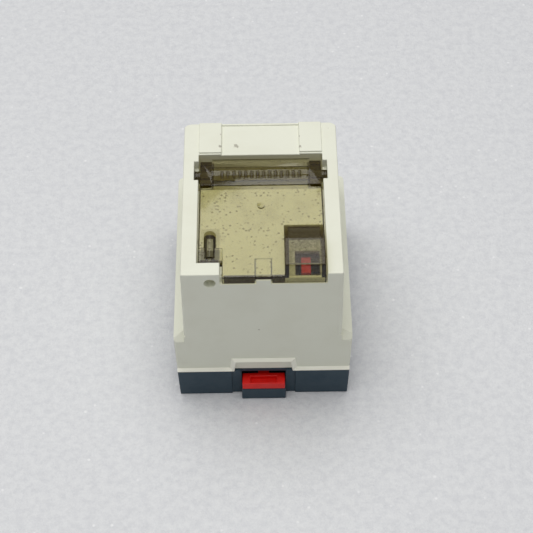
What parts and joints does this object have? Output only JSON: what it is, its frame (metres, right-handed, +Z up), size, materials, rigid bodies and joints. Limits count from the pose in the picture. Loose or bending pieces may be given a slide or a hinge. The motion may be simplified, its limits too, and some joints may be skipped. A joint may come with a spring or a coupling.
{
  "type": "plug-in control relay",
  "caption": "Plug-in control relay with a hinged sealable window cover, an indicator flag, a sprung release latch and a four-pole changeover mechanism.",
  "frame": {"origin": "middle of the underside of the whole envelope, latch tongue included", "axes": "+X to the right seen from the latch side, +Y from the latch side to the back, +Z up out of the socket"},
  "size_m": [0.045, 0.059, 0.0508],
  "materials": {
    "ivory_plastic": "fine moulded satin",
    "slate_plastic": "moulded satin",
    "red_plastic": "satin gloss",
    "smoked_plastic": "clear, smoked",
    "grey_plastic": "moulded",
    "buff_plastic": "moulded",
    "soft_iron": "zinc plated",
    "spring_steel": "drawn wire",
    "bright_steel": "bright plated",
    "copper_wire": "enamelled copper",
    "leaf_bronze": "rolled",
    "brass_strip": "punched strip",
    "contact_silver": "satin silver",
    "amber_tape": "adhesive film"
  },
  "bodies": {
    "casing": {"housing": "ivory_plastic", "base": "slate_plastic", "contact_block": "grey_plastic", "yoke": "soft_iron", "core": "soft_iron", "bobbin": "buff_plastic", "winding": "copper_wire", "coil_wrap": "amber_tape", "yoke_screws": "bright_steel", "armature_pin": "bright_steel", "latch_spring": "spring_steel", "armature_spring": "spring_steel", "coil_terminal_left": "brass_strip", "coil_terminal_right": "brass_strip", "coil_lead_left": "copper_wire", "coil_lead_right": "copper_wire", "common_terminal_1": "brass_strip", "common_terminal_2": "brass_strip", "common_terminal_3": "brass_strip", "common_terminal_4": "brass_strip", "closed_terminal_1": "brass_strip", "closed_terminal_2": "brass_strip", "closed_terminal_3": "brass_strip", "closed_terminal_4": "brass_strip", "open_terminal_1": "brass_strip", "open_terminal_2": "brass_strip", "open_terminal_3": "brass_strip", "open_terminal_4": "brass_strip", "leaf_rivets": "contact_silver", "closed_rivets": "contact_silver", "open_rivets": "contact_silver"},
    "cover": {"window_cover": "smoked_plastic"},
    "latch": {"release_latch": "red_plastic"},
    "armature": {"armature": "soft_iron"},
    "card": {"actuator_card": "buff_plastic", "indicator_flag": "red_plastic"},
    "leaves": {"moving_leaf_1": "leaf_bronze", "moving_leaf_2": "leaf_bronze", "moving_leaf_3": "leaf_bronze", "moving_leaf_4": "leaf_bronze", "moving_rivets": "contact_silver"}
  },
  "joints": [
    {"name": "cover_hinge", "type": "hinge", "parent": "casing", "child": "cover", "pos_m": [0, 0.0076, 0.0448], "axis": [-1, 0, 0], "range_deg": [0, 105]},
    {"name": "latch_slide", "type": "slide", "parent": "casing", "child": "latch", "axis": [0, -1, 0], "range_m": [0, 0.002], "stiffness_N_per_m": 600, "springref_m": -0.002, "deforming": ["latch_spring"]},
    {"name": "armature_pivot", "type": "hinge", "parent": "casing", "child": "armature", "pos_m": [0, -0.0226, 0.03529], "axis": [-1, 0, 0], "range_deg": [0, 2.5], "stiffness_Nm_per_rad": 0.05, "springref_deg": -8.59, "deforming": ["armature_spring"]},
    {"name": "card_slide", "type": "slide", "parent": "casing", "child": "card", "axis": [0, 0, -1], "range_m": [0, 0.00166]},
    {"name": "leaf_flex", "type": "hinge", "parent": "casing", "child": "leaves", "pos_m": [0, 0.0026, 0.019], "axis": [-1, 0, 0], "range_deg": [0, 7.45]}
  ],
  "couplings": [
    {"joint": "card_slide", "follows": "armature_pivot", "m_per_rad": 0.03799},
    {"joint": "leaf_flex", "follows": "armature_pivot", "ratio": 2.976}
  ]
}
